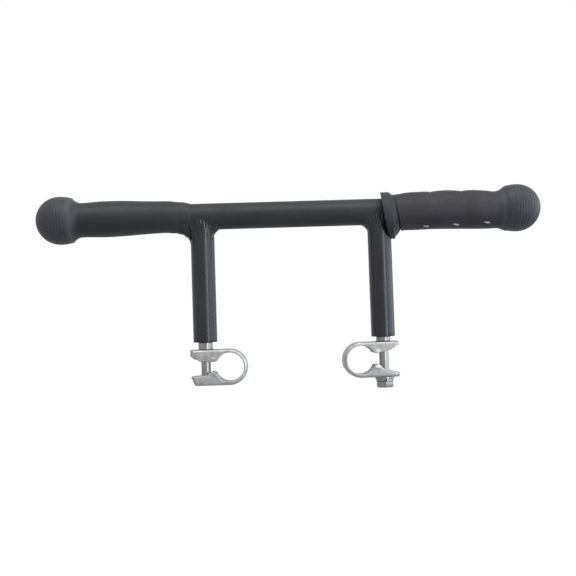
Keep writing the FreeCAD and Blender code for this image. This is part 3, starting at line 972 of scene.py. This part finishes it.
def drill(mesh, place, outer, sunk):
    """Cut the bolt hole through both ears, and the countersink of the left clamp."""
    hole = 4.4 * MM
    sink = 7.8 * MM
    sink_depth = 3.4 * MM
    past = 1.2 * outer
    profile = [(-past, 0.0), (-past, hole), (past, hole), (past, 0.0)]
    if sunk:
        below = -outer - 1.0 * MM
        start = [(below, 0.0), (below, sink), (-outer, sink), (-outer + sink_depth, hole)]
        profile = start + [(past, hole), (past, 0.0)]
    boolean_cut(mesh, grid_mesh("drill", lathe(profile, place, UP, 64)))


# ---------------------------------------------------------------- bolts, spacers and washers

THREAD_PITCH = 1.25 * MM
THREAD_DEPTH = 0.55 * MM
BOLT_RADIUS = 4.0 * MM
BOLT_SEGMENTS = 72
THREAD_LENGTH = 22 * MM
THREAD_ROWS = 10  # in each turn
POINT = 0.9 * MM


def thread_rows(centre, start, end):
    """List the rows of a helical thread between two heights, fading in at the start."""
    rows = []
    steps = int((end - start) / THREAD_PITCH * THREAD_ROWS)
    for step in range(steps + 1):
        height = start + (end - start) * step / steps
        depth = THREAD_DEPTH * smooth_step(start, start + THREAD_PITCH, height)
        row = []
        for column in range(BOLT_SEGMENTS):
            angle = FULL_TURN * column / BOLT_SEGMENTS
            turns = (height / THREAD_PITCH - angle / FULL_TURN) % 1.0
            radius = BOLT_RADIUS - depth * (1 - abs(2 * turns - 1))
            row.append(centre + Vector((radius * math.cos(angle), radius * math.sin(angle), height)))
        rows.append(row)
    return rows


def hexagon(angle, flats):
    """Give the radius of a hexagon at an angle."""
    sixth = math.pi / 3
    return flats / 2 / math.cos((angle + sixth / 2) % sixth - sixth / 2)


def hex_row(centre, height, flats, limit=None, rise=0.0):
    """List a ring that follows a hexagon, cut back to a circle of a limit radius."""
    row = []
    for column in range(BOLT_SEGMENTS):
        angle = FULL_TURN * column / BOLT_SEGMENTS
        radius = hexagon(angle, flats)
        lift = 0.0
        if limit is not None:
            lift = max(0.0, radius - limit) * rise
        row.append(centre + Vector((radius * math.cos(angle), radius * math.sin(angle), height + lift)))
    return row


def right_bolt():
    """Make the hexagon bolt: chamfered head, plain shank and threaded end."""
    low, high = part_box("right_bolt")
    centre = Vector((POST_X["right"], 0, 0))
    flats = 13.0 * MM
    top = low.z + 5.3 * MM
    face = 6.15 * MM
    dish = low.z + 0.25 * MM
    rows = [[centre + UP * dish]]
    rows += lathe([(dish, 4.6 * MM), (low.z, 5.0 * MM), (low.z, face)], centre, UP, BOLT_SEGMENTS)
    rows.append(hex_row(centre, low.z + 0.05 * MM, flats, face, 0.62))
    rows.append(hex_row(centre, low.z + 0.25 * MM, flats + 0.1 * MM, face, 0.55))
    rows.append(hex_row(centre, top - 0.35 * MM, flats + 0.1 * MM))
    rows.append(hex_row(centre, top - 0.1 * MM, flats - 0.3 * MM))
    neck = [(top, 6.0 * MM), (top, BOLT_RADIUS + 0.3 * MM), (top + 0.4 * MM, BOLT_RADIUS)]
    rows += lathe(neck, centre, UP, BOLT_SEGMENTS)
    add_shank(rows, centre, top, high.z, "right")


def left_bolt():
    """Make the countersunk bolt: flush head with a hexagon socket, plain shank and threaded end."""
    low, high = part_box("left_bolt")
    centre = Vector((POST_X["left"], 0, 0))
    key = 5.0 * MM
    rim = 7.45 * MM
    top = low.z + 3.6 * MM
    rows = [[centre + UP * (low.z + 3.4 * MM)]]
    rows.append(hex_row(centre, low.z + 3.0 * MM, key))
    rows.append(hex_row(centre, low.z + 0.2 * MM, key))
    rows.append(hex_row(centre, low.z, key + 0.4 * MM))
    head = [(low.z, rim - 0.3 * MM), (low.z + 0.2 * MM, rim), (top, BOLT_RADIUS)]
    rows += lathe(head, centre, UP, BOLT_SEGMENTS)
    add_shank(rows, centre, top, high.z, "left")


def add_shank(rows, centre, start, end, side):
    """Finish a bolt with its plain shank, its thread and its pointed end."""
    thread_start = end - THREAD_LENGTH
    steps = 12
    plain = [(start + (thread_start - start) * step / steps, BOLT_RADIUS) for step in range(1, steps)]
    rows += lathe(plain, centre, UP, BOLT_SEGMENTS)
    rows += thread_rows(centre, thread_start, end - POINT)
    rows += lathe([(end, BOLT_RADIUS - POINT), (end, 0.0)], centre, UP, BOLT_SEGMENTS)
    mesh = grid_mesh(f"{side}_bolt_mesh", rows)
    add_piece(f"{side}_bolt_threaded", mesh, f"{side}_bolt", f"{side}_bolt", BOLT_ZINC, 28)


def round_piece(node, piece_name, body, bevel):
    """Make a turned or stamped ring with rounded edges from its node's box."""
    bore = CLEAR_BORE
    low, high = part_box(node)
    centre = Vector(((low.x + high.x) / 2, (low.y + high.y) / 2, 0))
    radius = (high.x - low.x) / 2
    middle = (bore + radius) / 2
    closing = (low.z, middle)
    corners = [closing, (low.z, radius), (high.z, radius), (high.z, bore), (low.z, bore), closing]
    rows = lathe(rounded(corners, bevel)[:-1], centre, UP, 96)
    mesh = grid_mesh(f"{node}_mesh", rows, close_rows=True)
    add_piece(piece_name, mesh, body, node, BOLT_ZINC, 40)


def spring_washer():
    """Make the split spring washer: a square wire wound once, its ends slightly apart."""
    low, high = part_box("right_spring_washer")
    centre = Vector(((low.x + high.x) / 2, (low.y + high.y) / 2, (low.z + high.z) / 2))
    outer = (high.x - low.x) / 2
    inner = CLEAR_BORE
    offset = 0.12 * MM
    half = (high.z - low.z) / 2 - offset
    steps = 90
    gap = math.radians(8)
    square = [(inner, -half), (outer, -half), (outer, half), (inner, half)]
    section = rounded(square + square[:2], 0.25 * MM, 3)[1:-1]
    rows = []
    for step in range(steps + 1):
        share = step / steps
        angle = -math.pi / 2 + gap + (FULL_TURN - 2 * gap) * share
        out = Vector((math.cos(angle), math.sin(angle), 0))
        lift = offset * (2 * share - 1)
        rows.append([centre + out * radius + Vector((0, 0, height + lift)) for radius, height in section])
    mesh = grid_mesh("spring_washer_mesh", rows, cap_ends=True)
    add_piece("right_spring_washer_coil", mesh, "right_stack", "right_spring_washer", BOLT_ZINC)


# ---------------------------------------------------------------- light, floor and camera

def area_light(name, place, target, width, height, power, colour):
    """Add a soft rectangular light that looks at a point."""
    data = bpy.data.lights.new(name, "AREA")
    data.shape = "RECTANGLE"
    data.size = width
    data.size_y = height
    data.energy = power
    data.color = colour
    lamp = bpy.data.objects.new(name, data)
    bpy.context.scene.collection.objects.link(lamp)
    lamp.location = place
    lamp.rotation_euler = (target - place).to_track_quat("-Z", "Y").to_euler()


FLOOR_HALF = 9.0
# Each light: name, place from the target, width, height, power and colour.
LIGHTS = (
    ("overhead", (0.0, -0.80, 1.35), 2.4, 1.1, 17, (1, 1, 1)),
    ("tall_right", (1.0, -1.43, 0.05), 0.40, 1.7, 10.5, (0.93, 0.96, 1.0)),
    ("side_right", (1.7, -0.10, 0.3), 2.1, 1.4, 15, (0.85, 0.93, 1.0)),
)


def pale_floor(middle):
    """Add the pale floor, far enough below to leave the view from underneath free."""
    floor_z = cad_low.z - 0.85
    edges = [-FLOOR_HALF, -3.0, -1.0, 0.0, 1.0, 3.0, FLOOR_HALF]
    rows = [[Vector((middle.x + side * FLOOR_HALF, y, floor_z)) for side in (-1, 1)] for y in edges]
    mesh = grid_mesh("floor_mesh", rows, close_columns=False)
    material, tree, shader = new_material("pale_floor", grey(0.86), 0.9)
    tint = ramp_node(tree, noise_node(tree, 3, 3), [(0.3, grey(0.85)), (0.7, grey(0.88))])
    tree.links.new(tint, shader.inputs["Base Color"])
    shader.inputs["Emission Color"].default_value = (1, 1, 1, 1)
    shader.inputs["Emission Strength"].default_value = 0.45
    mesh.materials.append(material)
    floor = bpy.data.objects.new("floor", mesh)
    bpy.context.scene.collection.objects.link(floor)
    floor.visible_diffuse = False
    floor.visible_glossy = False


def sky():
    """Add a pale sky, brighter above and bluer on the right, that the camera sees as white."""
    world = bpy.data.worlds.new("sky")
    bpy.context.scene.world = world
    world.use_nodes = True
    tree = world.node_tree
    background = tree.nodes["Background"]
    place = tree.nodes.new("ShaderNodeTexCoord")
    split = tree.nodes.new("ShaderNodeSeparateXYZ")
    tree.links.new(place.outputs["Generated"], split.inputs["Vector"])
    height = range_node(tree, split.outputs["Z"], 0, 1, -1, 1)
    greys = [(0.0, grey(0.60)), (0.42, grey(0.66)), (0.55, grey(0.74)), (1.0, grey(1.0))]
    light = ramp_node(tree, height, greys)
    across = range_node(tree, split.outputs["X"], 0, 1, -1, 1)
    tint = ramp_node(tree, across, [(0.0, (1.02, 0.99, 1.06)), (0.5, grey(0.98)), (1.0, (1.02, 1.12, 1.22))])
    around = mix_node(tree, 1.0, light, tint, "MULTIPLY")
    seen = tree.nodes.new("ShaderNodeLightPath")
    choice = mix_node(tree, seen.outputs["Is Camera Ray"], around, (1, 1, 1, 1))
    tree.links.new(choice, background.inputs["Color"])
    background.inputs["Strength"].default_value = 1.0


def camera(middle):
    """Set the camera nearly square to the bar, very slightly low, left of centre and rolled."""
    azimuth, elevation, roll = math.radians(-1.95), math.radians(-2.45), math.radians(-1.92)
    distance = 0.70
    level = math.cos(elevation)
    back = Vector((math.sin(azimuth) * level, -math.cos(azimuth) * level, math.sin(elevation)))
    data = bpy.data.cameras.new("camera")
    data.sensor_width = 36.0
    data.lens = 51.75
    data.shift_x = -0.00885
    data.shift_y = 0.00885
    data.clip_start = 0.01
    data.clip_end = 50
    eye = bpy.data.objects.new("camera", data)
    bpy.context.scene.collection.objects.link(eye)
    eye.location = middle + back * distance
    facing = (-back).to_track_quat("-Z", "Y").to_matrix().to_4x4()
    turn = facing @ Matrix.Rotation(roll, 4, "Z")
    eye.rotation_euler = turn.to_euler()
    bpy.context.scene.camera = eye


def main():
    """Build every piece, then the stage."""
    cross_tube()
    left_grip()
    right_grip()
    for side in SIDES:
        post(side)
        weld_bead(side)
        insert_weld(side)
        clamp(side)
        round_piece(f"{side}_spacer", f"{side}_spacer_turned", f"{side}_stack", 0.45 * MM)
        for node, material in ((f"{side}_insert", BARE_STEEL), (f"{side}_tube_plug", PLUG_PLASTIC)):
            for item in frame["nodes"][node].material_slots:
                item.material = material
    left_bolt()
    right_bolt()
    round_piece("right_flat_washer", "right_flat_washer_stamped", "right_stack", 0.35 * MM)
    spring_washer()
    middle = Vector((BAR_CENTRE.x, 0, 0.060))
    pale_floor(middle)
    for name, offset, width, height, power, colour in LIGHTS:
        area_light(name, middle + Vector(offset), middle, width, height, power, colour)
    sky()
    camera(middle)
    bpy.context.scene.view_settings.view_transform = "Standard"


main()
